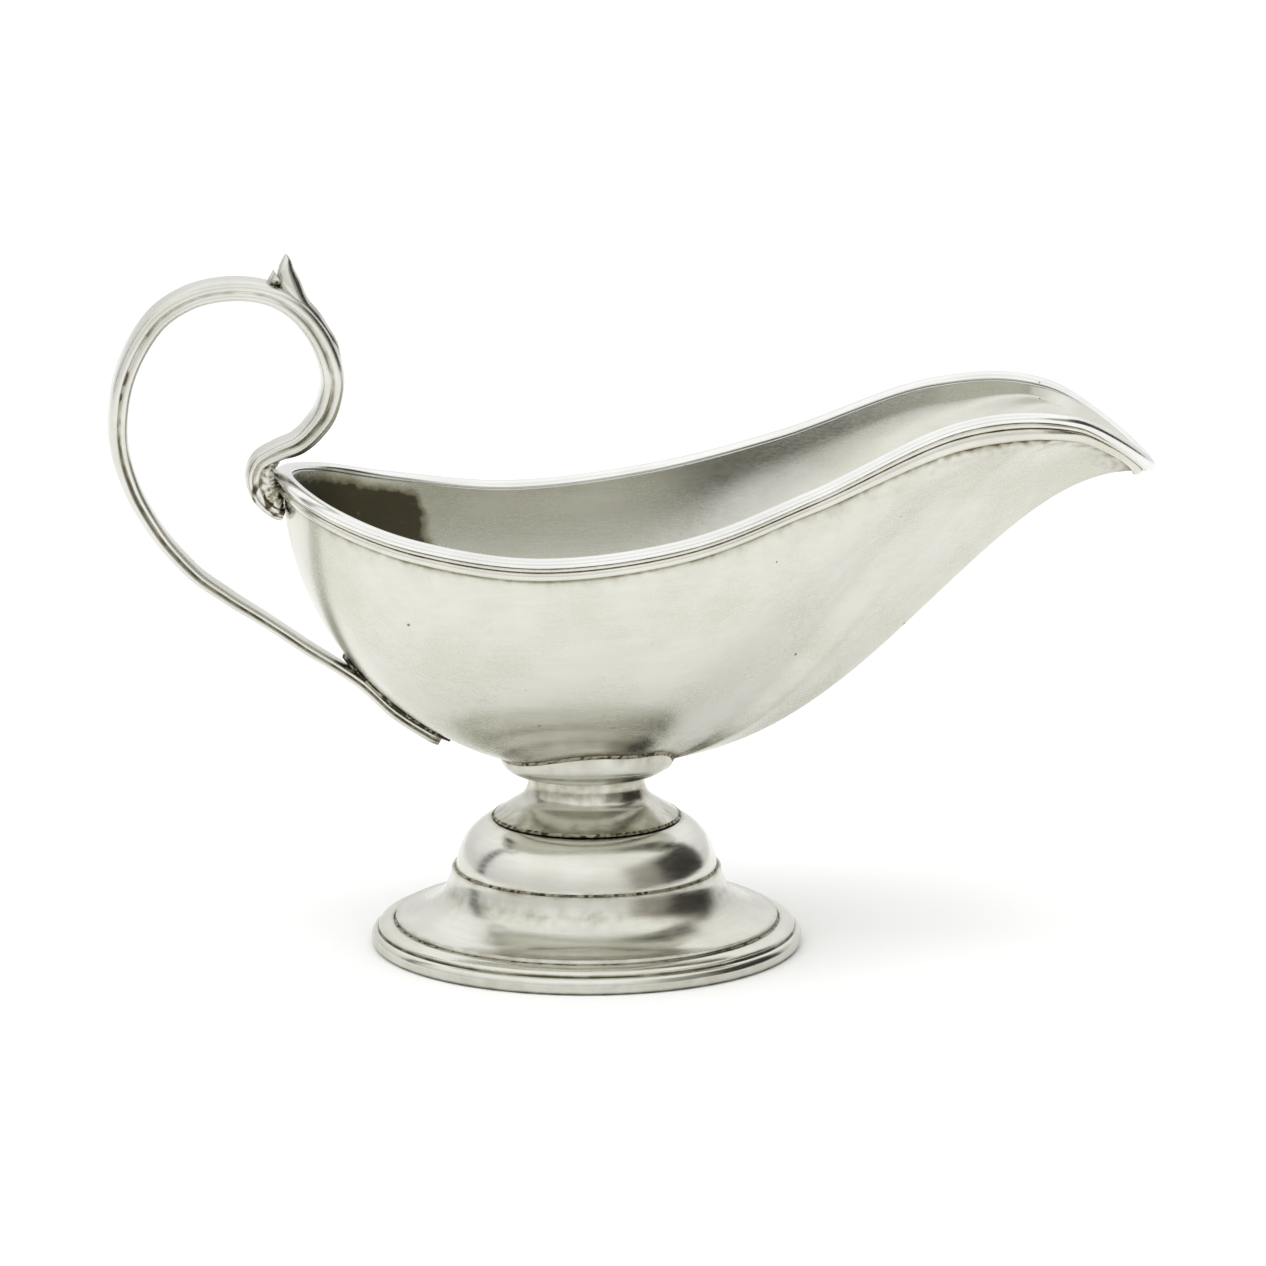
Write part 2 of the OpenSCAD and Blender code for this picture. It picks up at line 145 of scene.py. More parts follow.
def tube_faces(rings, count, closed=False):
    """Quads between rings of count points; closed joins the last ring to the first."""
    faces = []
    for a in range(rings if closed else rings - 1):
        b = (a + 1) % rings
        for k in range(count):
            k2 = (k + 1) % count
            faces.append((a * count + k, a * count + k2, b * count + k2, b * count + k))
    return faces


def swept(rings, patina=None):
    """(points, faces, patina) of a solid swept through rings, with a flat face at each end."""
    rings = np.asarray(rings, float)
    count, last = rings.shape[1], (len(rings) - 1) * rings.shape[1]
    faces = tube_faces(len(rings), count)
    faces += [tuple(range(count - 1, -1, -1)), tuple(range(last, last + count))]
    if patina is None:
        patina = np.zeros(rings.shape[:2])
    return rings.reshape(-1, 3), faces, np.asarray(patina, float).ravel()


# ---- Materials -------------------------------------------------------------


class Nodes:
    """Short forms for building a node tree."""

    def __init__(self, tree):
        self.tree = tree
        self.tree.nodes.clear()

    def add(self, kind, inputs=(), **settings):
        made = self.tree.nodes.new(kind)
        for key, value in settings.items():
            setattr(made, key, value)
        for key, value in dict(inputs).items():
            self.feed(made.inputs[key], value)
        return made

    def feed(self, socket, value):
        if isinstance(value, bpy.types.NodeSocket):
            self.tree.links.new(value, socket)
        else:
            socket.default_value = value

    def math(self, operation, a, b=0.0, clamp=False):
        made = self.add("ShaderNodeMath", {0: a, 1: b}, operation=operation, use_clamp=clamp)
        return made.outputs[0]

    def ramp(self, value, low, high, to_low=0.0, to_high=1.0):
        made = self.add(
            "ShaderNodeMapRange",
            {"Value": value, "From Min": low, "From Max": high, "To Min": to_low, "To Max": to_high},
            interpolation_type="SMOOTHSTEP",
        )
        return made.outputs["Result"]

    def blend(self, share, a, b):
        made = self.add("ShaderNodeMix", data_type="RGBA")
        for socket, value in ((made.inputs[0], share), (made.inputs[6], a), (made.inputs[7], b)):
            self.feed(socket, value)
        return made.outputs[2]

    def noise(self, place, per_metre, detail=3.0, stretch=(1, 1, 1)):
        scaled = self.add(
            "ShaderNodeVectorMath",
            {0: place, 1: tuple(per_metre * s for s in stretch)},
            operation="MULTIPLY",
        )
        made = self.add("ShaderNodeTexNoise", {"Vector": scaled.outputs[0], "Scale": 1.0, "Detail": detail})
        return made.outputs["Fac"]


def pewter(name, clean, cloudy, dark, roughness, turned=False, brush=0.35, pits=1.0, bump=0.00003):
    """Satin pewter with cloudy colour, fine scratches, casting pits, and dirt where patina is high; where
    patina holds painted reflection, it darkens the colour the same way.
    """
    material = bpy.data.materials.new(name)
    material.use_nodes = True
    n = Nodes(material.node_tree)
    place = n.add("ShaderNodeTexCoord").outputs["Object"]
    patina = n.add("ShaderNodeAttribute", attribute_name="patina").outputs["Fac"]

    if turned:  # scratches run round the axis
        split = n.add("ShaderNodeSeparateXYZ", {0: place})
        across = n.math("MULTIPLY", split.outputs[0], split.outputs[0])
        deep = n.math("MULTIPLY", split.outputs[1], split.outputs[1])
        radius = n.math("SQRT", n.math("ADD", across, deep))
        angle = n.math("ARCTAN2", split.outputs[1], split.outputs[0])
        length = n.math("MULTIPLY", angle, 0.003)
        along = n.add("ShaderNodeCombineXYZ", {0: length, 1: radius, 2: split.outputs[2]}).outputs[0]
        stretch = (1, 1, 1)
    else:
        along, stretch = place, (0.07, 1, 1)
    scratches = n.noise(along, 2600, 2, stretch)
    strokes = n.noise(along, 700, 3, stretch)

    clouds = n.noise(place, 55, 5)
    fine = n.noise(place, 900, 4)
    grime = n.noise(place, 420, 5)
    cells = n.add("ShaderNodeTexVoronoi", {"Vector": place, "Scale": 330.0})
    chance = n.add("ShaderNodeSeparateColor", {0: cells.outputs["Color"]}).outputs[0]
    reach = n.math("MULTIPLY", n.math("POWER", chance, 12.0), 0.12 * pits)
    pit = n.math("MULTIPLY", n.math("LESS_THAN", cells.outputs["Distance"], reach), 0.8)

    # solid and dirt follow the patina attribute: real dirt, and painted reflection where the mesh holds one
    solid = n.math("MULTIPLY", n.math("POWER", patina, 4.0), 0.4)
    dirt = n.math("MULTIPLY", patina, n.ramp(grime, 0.25, 0.72, 0.6, 1.2))
    dirt = n.math("ADD", dirt, solid, clamp=True)
    worn = n.ramp(clouds, 0.35, 0.7)
    colour = n.blend(worn, (*clean, 1), (*cloudy, 1))
    colour = n.blend(n.ramp(strokes, 0.3, 0.75, 0.0, 0.22), colour, (*[c * 0.86 for c in cloudy], 1))
    colour = n.blend(n.ramp(fine, 0.62, 0.8, 0.0, 0.14), colour, (*[c * 0.72 for c in cloudy], 1))
    colour = n.blend(n.ramp(dirt, 0.0, 0.55), colour, (*OLIVE, 1))
    colour = n.blend(n.math("MAXIMUM", n.ramp(dirt, 0.45, 1.0), pit), colour, (*dark, 1))

    rough = n.math("ADD", n.ramp(clouds, 0.3, 0.7, roughness - 0.035, roughness + 0.045),
                   n.ramp(scratches, 0.3, 0.7, -0.03, 0.04))
    rough = n.math("ADD", rough, n.ramp(dirt, 0.3, 1.0, 0.0, 0.2), clamp=True)

    height = n.math("ADD", n.math("MULTIPLY", scratches, brush), n.math("MULTIPLY", fine, 0.14))
    height = n.math("SUBTRACT", height, n.math("MULTIPLY", n.math("MAXIMUM", dirt, pit), 0.9))
    raised = n.add("ShaderNodeBump", {"Height": height, "Distance": bump, "Strength": 0.6})

    shader = n.add(
        "ShaderNodeBsdfPrincipled",
        {"Base Color": colour, "Roughness": rough, "Metallic": 1.0, "Normal": raised.outputs[0]},
    )
    if turned:
        shader.inputs["Anisotropic"].default_value = 0.45
        tangent = n.add("ShaderNodeTangent", direction_type="RADIAL", axis="Z")
        n.feed(shader.inputs["Tangent"], tangent.outputs[0])
    output = n.add("ShaderNodeOutputMaterial")
    n.feed(output.inputs[0], shader.outputs[0])
    return material


CLEAN, CLOUDY, OLIVE, DARK = (0.67, 0.668, 0.61), (0.61, 0.606, 0.535), (0.33, 0.31, 0.235), (0.1, 0.09, 0.06)
hull_metal = pewter("hull_pewter", CLEAN, CLOUDY, DARK, 0.24)
lip_metal = pewter("lip_pewter", (0.8, 0.8, 0.78), (0.74, 0.74, 0.71), DARK, 0.2, pits=0.6)
reed_metal = pewter("reed_pewter", (0.71, 0.7, 0.64), (0.63, 0.62, 0.55), DARK, 0.22, pits=0.6)
handle_metal = pewter("handle_pewter", (0.7, 0.695, 0.65), (0.62, 0.615, 0.56), DARK, 0.23)
foot_metal = pewter("foot_pewter", (0.69, 0.688, 0.635), CLOUDY, DARK, 0.19, turned=True)
solder_metal = pewter("solder_metal", (0.4, 0.385, 0.32), (0.2, 0.185, 0.14), (0.05, 0.045, 0.03),
                      0.38, brush=0.2, pits=2.0, bump=0.0003)

# ---- Lip line --------------------------------------------------------------

rise = SHOULDER - WAIST
lip_stations = np.array([
    [-STERN_REACH, 0, STERN],
    [-0.87 * STERN_REACH, 0.59 * HALF_BREADTH, mix(WAIST, STERN, 0.72)],
    [-0.59 * STERN_REACH, 0.90 * HALF_BREADTH, mix(WAIST, STERN, 0.28)],
    [-0.19 * STERN_REACH, 1.00 * HALF_BREADTH, WAIST],
    [0.145 * SPOUT_REACH, 0.98 * HALF_BREADTH, WAIST + 0.14 * rise],
    [0.37 * SPOUT_REACH, 0.79 * HALF_BREADTH, WAIST + 0.49 * rise],
    [0.63 * SPOUT_REACH, 0.60 * HALF_BREADTH, SHOULDER],
    [0.84 * SPOUT_REACH, 0.48 * HALF_BREADTH, SHOULDER - 0.02 * rise],
    [SPOUT_REACH, 0, TIP],
])
lip_guide = np.vstack([lip_stations[1] * [1, -1, 1], lip_stations, lip_stations[-2] * [1, -1, 1]])
side = curve_at(lip_guide, np.linspace(0, len(lip_stations) - 1, SIDE_STEPS + 1))
line = np.vstack([side, side[-2:0:-1] * [1, -1, 1]])
along_line = np.roll(line, -1, 0) - np.roll(line, 1, 0)
outward = np.stack([-along_line[:, 1], along_line[:, 0], 0 * along_line[:, 0]], -1)
outward /= np.linalg.norm(outward, axis=1)[:, None]
place = line[:, 0] / SPOUT_REACH
spout_share = eased((place - 0.08) / 0.85)
lean = TIP_LEAN * eased((place - 0.78) / 0.22)
growth = mix(mix(1, REED_GROWTH, eased((place - 0.3) / 0.34)), TIP_GROWTH, eased((place - 0.68) / 0.18))
tilt = np.radians(lean)
UP = np.array([0.0, 0.0, 1.0])


def lip_points(across, down):
    """Ring of points beside the lip, measured out from its crest and down from its top."""
    depth = min(down, LIP_HEIGHT) + growth * max(0, down - LIP_HEIGHT)
    out = across * np.cos(tilt) - depth * np.sin(tilt)
    drop = across * np.sin(tilt) + depth * np.cos(tilt)
    return line + out[:, None] * outward - drop[:, None] * UP


WALL_OUT = -WALL_SETBACK
WALL_IN = WALL_OUT - WALL
REEDS_HEIGHT = UPPER_REED + LOWER_REED

# ---- Bowl ------------------------------------------------------------------


def bowl_points(edge, base, turn, share):
    reach = math.sin(math.radians(turn))
    round_rise = 1 - max(math.cos(math.radians(turn)), 0) ** 1.06
    spout_rise = math.sin(math.radians(90 * reach**SPOUT_CURVE)) ** 2
    height = mix(base, edge[..., 2], mix(round_rise, spout_rise, share))
    return np.stack([edge[..., 0] * reach, edge[..., 1] * reach, height], -1)


outer_edge = lip_points(WALL_OUT, LIP_HEIGHT + REEDS_HEIGHT)
inner_edge = lip_points(WALL_IN, LIP_HEIGHT + REEDS_HEIGHT)
inner_edge[:, 2] += WALL * spout_share * (1 - lean / TIP_LEAN)
ROWS = 84
TAIL_BREADTH = 0.8 * STRAP_BREADTH


def make_hull():
    turns = np.linspace(90 / ROWS, 90, ROWS)
    outer = [bowl_points(outer_edge, BOWL_BASE, t, spout_share) for t in turns]
    inner = [bowl_points(inner_edge, BOWL_BASE + WALL, t, spout_share) for t in turns[::-1]]
    band = [lip_points(WALL_OUT, LIP_HEIGHT + UPPER_REED), lip_points(WALL_OUT, LIP_HEIGHT)]
    rings = np.array(outer + band + [lip_points(WALL_IN, LIP_HEIGHT)] + inner)
    count = rings.shape[1]

    # Slight unevenness of hand finishing, none at the rim, where the mouldings sit
    flat = rings.reshape(-1, 3)
    uneven = 0.05 * noise_at(flat, 15) + 0.02 * noise_at(flat, 6, 7.3)
    fade = np.concatenate([eased((90 - turns) / 12), [0, 0, 0], eased((90 - turns[::-1]) / 12)])
    flat[:, 2] += uneven * np.repeat(fade, count)

    below = np.array([np.linalg.norm(r - outer_edge, axis=1) for r in rings[:ROWS]])
    lumps = noise_at(rings[:ROWS], 9, 3.1).reshape(ROWS, count)
    specks = noise_at(rings[:ROWS], 1.6, 8.2).reshape(ROWS, count)
    forward = eased((rings[:ROWS, :, 0] - 30) / 60)
    smudge = 0.1 + 0.28 * forward
    dirt = 0.75 * np.exp(-below / 0.45) + smudge * np.exp(-below / 3.5) * (1 + lumps + 1.5 * specks)
    reach = np.hypot(rings[:ROWS, :, 0], rings[:ROWS, :, 1]) - COLLAR_RADIUS
    low = rings[:ROWS, :, 2] < 50
    dirt += 0.85 * np.exp(-np.abs(reach) / 0.8) * low
    dirt += 0.13 * np.exp(-np.maximum(reach, 0) / 6) * (1.2 + np.sin(reach * 2.1)) * low
    tail_gap = np.abs(rings[:ROWS, :, 1]) - 0.5 * TAIL_BREADTH
    tail_side = (rings[:ROWS, :, 0] < -28) & (rings[:ROWS, :, 0] > -51)
    dirt += 0.8 * np.exp(-np.maximum(tail_gap, 0) / 0.5) * tail_side
    patina = np.zeros(rings.shape[:2])
    patina[:ROWS] = dirt
    patina[ROWS : ROWS + 2] = 0.9
    # A painted reflection darkens the inside nearly black towards the stern, with a ragged edge, over a faint
    # random tarnish
    inside = rings[ROWS + 3 :]
    tarnish = eased(noise_at(inside, 22, 1.7) * 1.6).reshape(ROWS, count)
    frayed = noise_at(inside, 5, 4.9).reshape(ROWS, count)
    ragged = inside[..., 0] + 0.35 * (inside[..., 2] - 80) + 1.5 * frayed
    stern_painted_reflection = eased((ragged + 57.5) / 3) * eased((-28 - ragged) / 4)
    # worn lightens the painted reflection by up to 12% in fine streaks
    worn = 1 - 0.12 * eased(noise_at(inside * [0.3, 1, 1], 1.2, 2.9).reshape(ROWS, count) * 2)
    patina[ROWS + 3 :] = np.maximum(0.08 * tarnish, stern_painted_reflection * worn)

    points = np.vstack([flat, [[0, 0, BOWL_BASE], [0, 0, BOWL_BASE + WALL]]])
    faces = tube_faces(len(rings), count)
    last = (len(rings) - 1) * count
    faces += [(count * len(rings), (k + 1) % count, k) for k in range(count)]
    faces += [(count * len(rings) + 1, last + k, last + (k + 1) % count) for k in range(count)]
    piece("hull", "body_shell", "pewter", hull_metal, points, faces, np.append(patina, [0, 0]))


def make_mouldings():
    """The rounded lip and the two reeds under it, each in a left and a right half."""
    arc_turns = np.linspace(-30, 210, 29)
    lip_section = [(WALL_IN, LIP_HEIGHT)]
    for turn in arc_turns:
        cosine, sine = math.cos(math.radians(turn)), math.sin(math.radians(turn))
        half = -WALL_IN if cosine > 0 else LIP_OVERHANG
        lip_section.append((-half * cosine, LIP_HEIGHT * (0.62 - 0.62 * sine)))
    lip_section.append((WALL_OUT, LIP_HEIGHT))

    def reed_section(top, bottom):
        middle, half = (top + bottom) / 2, (bottom - top) / 2
        turns = np.radians(np.linspace(-90, 90, 17))
        bulge = [(REED_FILLET + (1 - REED_FILLET) * math.cos(t), math.sin(t)) for t in turns]
        curve = [(WALL_OUT + REED_DEPTH * a, middle + half * b) for a, b in bulge]
        return [(WALL_OUT, top), *curve, (WALL_OUT, bottom)]

    upper = reed_section(LIP_HEIGHT, LIP_HEIGHT + UPPER_REED)
    lower = reed_section(LIP_HEIGHT + UPPER_REED, LIP_HEIGHT + REEDS_HEIGHT)
    grooves = np.array([LIP_HEIGHT, LIP_HEIGHT + UPPER_REED, LIP_HEIGHT + REEDS_HEIGHT])
    kinds = (
        ("lip", "lip_wire", "worn_pewter", lip_metal, lip_section, 0.12),
        ("upper_reed", "upper_reed", "pewter", reed_metal, upper, 0.16),
        ("lower_reed", "lower_reed", "pewter", reed_metal, lower, 0.16),
    )
    for name, node, slot, metal, section, spread in kinds:
        whole = np.array([lip_points(a, d) for a, d in section]).transpose(1, 0, 2)
        near = np.array([
            np.exp(-np.min(np.abs(grooves - d)) / spread) * (a > WALL_IN + 0.5)
            for a, d in section
        ])
        for half, first in (("left", 0), ("right", SIDE_STEPS)):
            order = [(first + k) % len(line) for k in range(SIDE_STEPS + 1)]
            rings = whole[order]
            lumps = noise_at(rings[:, 0], 7, 5.0)
            patina = near[None, :] * (0.62 + 0.4 * lumps[:, None])
            piece(f"{name}_{half}", f"{node}_{half}", slot, metal, *swept(rings, patina))


# ---- Handle ----------------------------------------------------------------

stern_edge = outer_edge[0]


def stern_spot(turn, gap):
    """Point over the stern's skin, and gap away from it."""
    spot = bowl_points(stern_edge, BOWL_BASE, turn, 0)
    angle = math.radians(turn)
    away = np.array([-(stern_edge[2] - BOWL_BASE) * math.sin(angle), 0, stern_edge[0] * math.cos(angle)])
    return spot + gap * away / np.linalg.norm(away)


def tail_station(turn, breadth):
    thickness = 0.6 * STRAP_THICKNESS
    spot = stern_spot(turn, FILM + thickness / 2)
    return [spot[0], spot[2], breadth, thickness]


def loop_stations(rows):
    """Rows of [back, up, breadth, thickness], measured from the stern's lip and as shares of the strap's."""
    return [[-STERN_REACH - b, STERN + u, w * STRAP_BREADTH, t * STRAP_THICKNESS] for b, u, w, t in rows]


handle_stations = [
    tail_station(28.5, 0.5 * TAIL_BREADTH),
    tail_station(31, 0.9 * TAIL_BREADTH),
    tail_station(39, TAIL_BREADTH),
    tail_station(48, TAIL_BREADTH),
] + loop_stations([
    (-5.2, -37.8, 0.84, 0.62), (3.4, -31.8, 0.88, 0.64), (11.8, -26.2, 0.92, 0.68),
    (18.4, -21.2, 0.95, 0.74), (25.5, -13, 0.98, 0.82), (31.2, -2.7, 1, 0.9),
    (33.8, 8, 1, 0.98), (32.4, 20.2, 1, 1.06), (26.7, 31.1, 1, 1.1), (19.2, 36.6, 1, 1.1),
    (10.4, 38.4, 1, 1.1), (2.2, 37.2, 1, 1.1), (-3.8, 33.3, 1, 1.1), (-8.3, 27, 1, 1.13),
    (-10.5, 19.6, 1, 1.2), (-9.3, 13, 0.98, 1.2), (-6.6, 8.8, 0.96, 1.15),
    (-3.2, 5.8, 0.94, 1.08), (0.8, 4.3, 0.92, 0.95), (4.7, 2.1, 0.9, 0.85),
    (5.9, -1.6, 0.88, 0.8), (4.6, -5.6, 0.86, 0.75), (1.6, -8.4, 0.84, 0.7),
    (-0.1, -9.1, 0.8, 0.6),
])
STRAP_HALF = [
    (0.62, 0.99), (0.82, 0.86), (0.94, 0.66), (0.98, 0.42), (0.95, 0.2), (0.9, 0.04), (0.9, -0.1),
    (0.95, -0.26), (0.97, -0.46), (0.92, -0.7), (0.76, -0.91), (0.5, -1.0),
]
ROUND = [(math.cos(t), math.sin(t)) for t in np.linspace(2 * math.pi, 0, 28, endpoint=False)]


def strap_section():
    """The strap's section with its bends smoothed, a groove along each side face and a bead inside it."""
    guide = [(-0.35, 1.03), (0.32, 1.03), *STRAP_HALF, (0, -1.02), (-0.5, -1.0)]
    half = curve_at(guide, np.linspace(0, len(guide) - 3, 4 * (len(guide) - 3) + 1))
    half = half[(half[:, 0] > 0.02)]
    return np.vstack([[[0, 1.04]], half, [[0, -1.02]], half[::-1] * [-1, 1]])


def strap_rings(stations, section, steps):
    """(rings, share along) of a strap whose middle line follows stations."""
    guide = run_on(stations)
    last = len(guide) - 3
    u = np.linspace(0, last, steps + 1)
    here = curve_at(guide, u)
    run = curve_at(guide, np.minimum(u + 0.05, last)) - curve_at(guide, np.maximum(u - 0.05, 0))
    out = np.stack([-run[:, 1], run[:, 0]], -1) / np.linalg.norm(run[:, :2], axis=1)[:, None]
    section = np.asarray(section, float)
    across, deep = section[:, 0], section[:, 1]
    rings = np.stack([
        here[:, :1] + out[:, :1] * deep * here[:, 3:] / 2,
        across * here[:, 2:3] / 2,
        here[:, 1:2] + out[:, 1:] * deep * here[:, 3:] / 2,
    ], -1)
    return rings, u / last


def make_handle():
    section = strap_section()
    rings, share = strap_rings(handle_stations, section, 540)
    depth, side_face = section[:, 1], eased((np.abs(section[:, 0]) - 0.6) / 0.2)
    groove = np.exp(-(((depth - 0.0) / 0.17) ** 2)) * side_face
    lumps = noise_at(rings[:, 0], 6, 2.2)
    # The groove is dirtiest on the lower arm and behind the loop; it fades at the curl
    arm = 1 - eased((share - 0.34) / 0.08)
    back = np.exp(-(((share - 0.71) / 0.05) ** 2))
    curl = eased((share - 0.87) / 0.05)
    patina = groove[None, :] * ((0.3 + 0.5 * np.maximum(arm, back) + 0.3 * lumps) * (1 - curl))[:, None]
    flat = rings.reshape(-1, 3)
    cracks = noise_at(flat * [1, 0.4, 1], 2.2, 7.7).reshape(patina.shape)
    pitted = curl[:, None] + 0.8 * np.exp(-(((share - 0.405) / 0.03) ** 2))[:, None] * groove[None, :]
    patina += pitted * side_face[None, :] * np.clip(1.1 * eased((cracks - 0.02) / 0.3), 0, 1)
    under = (depth < -0.9).astype(float)
    patina = np.maximum(patina, (0.35 * eased((share - 0.8) / 0.1))[:, None] * under[None, :])
    worn = (pitted * side_face[None, :]).ravel() * noise_at(flat, 1.3, 5.5)
    flat += 0.035 * noise_at(flat, 5, 4.4)[:, None] * np.array([1, 0.6, 1])
    flat[:, 1] -= 0.16 * np.abs(worn) * np.sign(flat[:, 1])
    piece("handle_strap", "handle", "pewter", handle_metal, *swept(rings, patina), crease=60)


def make_spur():
    stations = loop_stations([
        (-12.2, 22.6, 0.3, 0.2), (-11.3, 26, 0.45, 0.35), (-9.4, 29, 0.6, 0.5),
        (-7.1, 32.1, 0.7, 0.7), (-4.3, 35.2, 0.7, 0.85), (-2, 38.8, 0.66, 1.2),
        (-1.2, 41.7, 0.52, 0.95), (-1.2, 44, 0.34, 0.55), (-1.1, 45.4, 0.12, 0.14),
    ])
    rings, share = strap_rings(stations, ROUND, 120)
    lumps = 0.5 + noise_at(rings[:, 0], 3, 6.1)
    patina = (0.4 * (1 - eased((share - 0.35) / 0.3)) * lumps)[:, None] * np.ones(len(ROUND))
    piece("thumb_leaf", "thumb_spur", "pewter", handle_metal, *swept(rings, patina))


def make_lump(name, node, stations, steps, rough=0.16, metal=None, dark=0.35):
    """A rough lump of solder swept through stations."""
    rings, share = strap_rings(stations, ROUND, steps)
    flat = rings.reshape(-1, 3)
    middle = np.repeat(rings.mean(1), len(ROUND), 0)
    out = flat - middle
    out /= np.maximum(np.linalg.norm(out, axis=1), 1e-6)[:, None]
    lumps = noise_at(flat, 1.1, 9.1) + 0.6 * noise_at(flat, 0.5, 2.7)
    flat += (rough * lumps)[:, None] * out
    patina = np.clip(dark - 0.9 * lumps, 0, 1).reshape(rings.shape[:2])
    piece(name, node, "solder", metal or solder_metal, *swept(rings, patina), crease=80)


def make_handle_solder():
    make_lump("solder_leaf", "solder_spur", loop_stations([
        (2.6, 39.6, 0.3, 0.25), (1.5, 40.1, 0.5, 0.6), (0.5, 40.7, 0.6, 0.95)]), 30, 0.05, handle_metal, 0.1)
    make_lump("solder_curl", "solder_handle_top", loop_stations([
        (1.4, 2.8, 0.7, 0.7), (3.2, 0.8, 0.85, 1.1), (3, -3, 0.85, 1.4),
        (1.6, -6.4, 0.75, 1.1), (0.6, -8, 0.6, 0.6)]), 80, 0.24, handle_metal, 0.3)
    tail = []
    for turn in (27, 29, 34, 40, 46, 50, 53):
        spot = stern_spot(turn, 0.2)
        swell = math.sin(math.radians(180 * (turn - 24) / 31))
        tail.append([spot[0], spot[2], TAIL_BREADTH * mix(0.6, 1.12, swell), mix(1.0, 2.8, swell)])
    make_lump("solder_tail", "solder_handle_tail", tail, 140, 0.12, dark=0.75)


# ---- Turned foot -----------------------------------------------------------


ROUND_ANGLES = np.linspace(0, 2 * math.pi, LATHE_STEPS, endpoint=False)


def turned(name, node, profile, grooves=(), slot="pewter", material=None, corner=0.3, rough=0.0, fit=None):
    """A piece turned about Z from a closed profile of (radius, height); fit bends its heights."""
    profile = np.array(rounded(profile, corner))
    radii, heights = (np.repeat(profile[:, i, None], LATHE_STEPS, 1) for i in (0, 1))
    if fit:
        heights = fit(radii, heights)
    rings = np.stack([radii * np.cos(ROUND_ANGLES), radii * np.sin(ROUND_ANGLES), heights], -1)
    near = np.zeros(len(profile))
    # Each entry darkens the patina near a point of the profile, spread as given; on the stem one of them is a
    # painted reflection
    for radius, height, spread, *amount in grooves:
        gap = np.hypot(profile[:, 0] - radius, profile[:, 1] - height)
        near = np.maximum(near, (amount or [1])[0] * np.exp(-gap / spread))
    flat = rings.reshape(-1, 3)
    lumps = noise_at(flat, 4, 8.8)
    patina = np.repeat(near, LATHE_STEPS) * (0.9 + 0.5 * lumps)
    radial = flat[:, :2] / np.maximum(np.hypot(flat[:, 0], flat[:, 1]), 1e-6)[:, None]
    if rough:
        grain = noise_at(flat, 0.9, 3.3)
        flat[:, :2] += (rough * grain)[:, None] * radial
        patina = np.clip(0.6 - 0.6 * grain, 0, 1)
    else:
        uneven = 0.03 * noise_at(flat, 9, 1.1) + 0.015 * noise_at(flat, 4, 6.6)
        free = np.minimum(1, np.repeat(1 - near, LATHE_STEPS))
        flat[:, :2] += (uneven * free)[:, None] * radial
        flat[:, 2] += uneven * free * (flat[:, 2] > 1)
    piece(name, node, slot, material or foot_metal, flat, tube_faces(len(profile), LATHE_STEPS, True), patina)


def bead(name, node, radius, height, size=0.5):
    """A thin fillet of solder in a groove of the foot."""
    profile = [
        (radius - 0.1, height - 0.1), (radius + size, height - 0.1),
        (radius + 0.3 * size, height + 0.3 * size), (radius - 0.1, height + size),
    ]
    turned(name, node, profile, slot="solder", material=solder_metal, corner=0.15, rough=0.05)


edge_angle = np.arctan2(outer_edge[:, 1], outer_edge[:, 0])
edge_order = np.argsort(edge_angle)


def round_edge(values):
    """Values kept round the bowl's edge, read at the lathe's stations."""
    return np.interp(ROUND_ANGLES, edge_angle[edge_order], values[edge_order], period=2 * math.pi)


edge_reach = round_edge(np.hypot(outer_edge[:, 0], outer_edge[:, 1]))
edge_height, edge_share = round_edge(outer_edge[:, 2]), round_edge(spout_share)


def underside(radii):
    """Height of the bowl's underside over rings of LATHE_STEPS radii."""
    reach = radii / edge_reach
    round_rise = 1 - np.sqrt(1 - reach**2) ** 1.06
    spout_rise = np.sin(0.5 * math.pi * reach**SPOUT_CURVE) ** 2
    return mix(BOWL_BASE, edge_height, mix(round_rise, spout_rise, edge_share))


def make_collar():
    """The collar and its solder, bent to the bowl's saddle-shaped underside."""
    belly, bore = COLLAR_SEAT + 4, 0.5 * NECK_RADIUS + GAP
    above = BOWL_BASE + 8

    def seat_collar(radii, heights):
        top = underside(radii) - 0.04
        side = underside(np.full_like(radii, COLLAR_RADIUS)) - 0.45
        lower = mix(COLLAR_SEAT, side, (heights - COLLAR_SEAT) / (belly - COLLAR_SEAT))
        upper = mix(side, top, np.clip((heights - belly) / (above - belly), 0, 1))
        return np.where(heights > belly, upper, lower)

    outer = COLLAR_RADIUS
    profile = [(bore, above), (bore, COLLAR_SEAT), (NECK_RADIUS, COLLAR_SEAT)]
    profile += arc((outer - 4, belly), (4, belly - COLLAR_SEAT), -90, 0)
    profile += [(outer, above), *((r, above) for r in np.linspace(outer - 2, bore + 2, 5))]
    grooves = [(NECK_RADIUS, COLLAR_SEAT, 0.6), (outer, belly, 2, 0.38)]
    turned("collar_ring", "collar", profile, grooves, fit=seat_collar)

    def seat_solder(radii, heights):
        return underside(radii) + heights

    profile = [
        (outer - 0.3, 0.1), (outer - 0.3, -0.65), (outer + 0.05, -0.55),
        (outer + 0.3, -0.15), (outer + 0.35, 0.1),
    ]
    turned("collar_seam", "solder_collar", profile, slot="solder", material=solder_metal,
           corner=0.15, rough=0.05, fit=seat_solder)


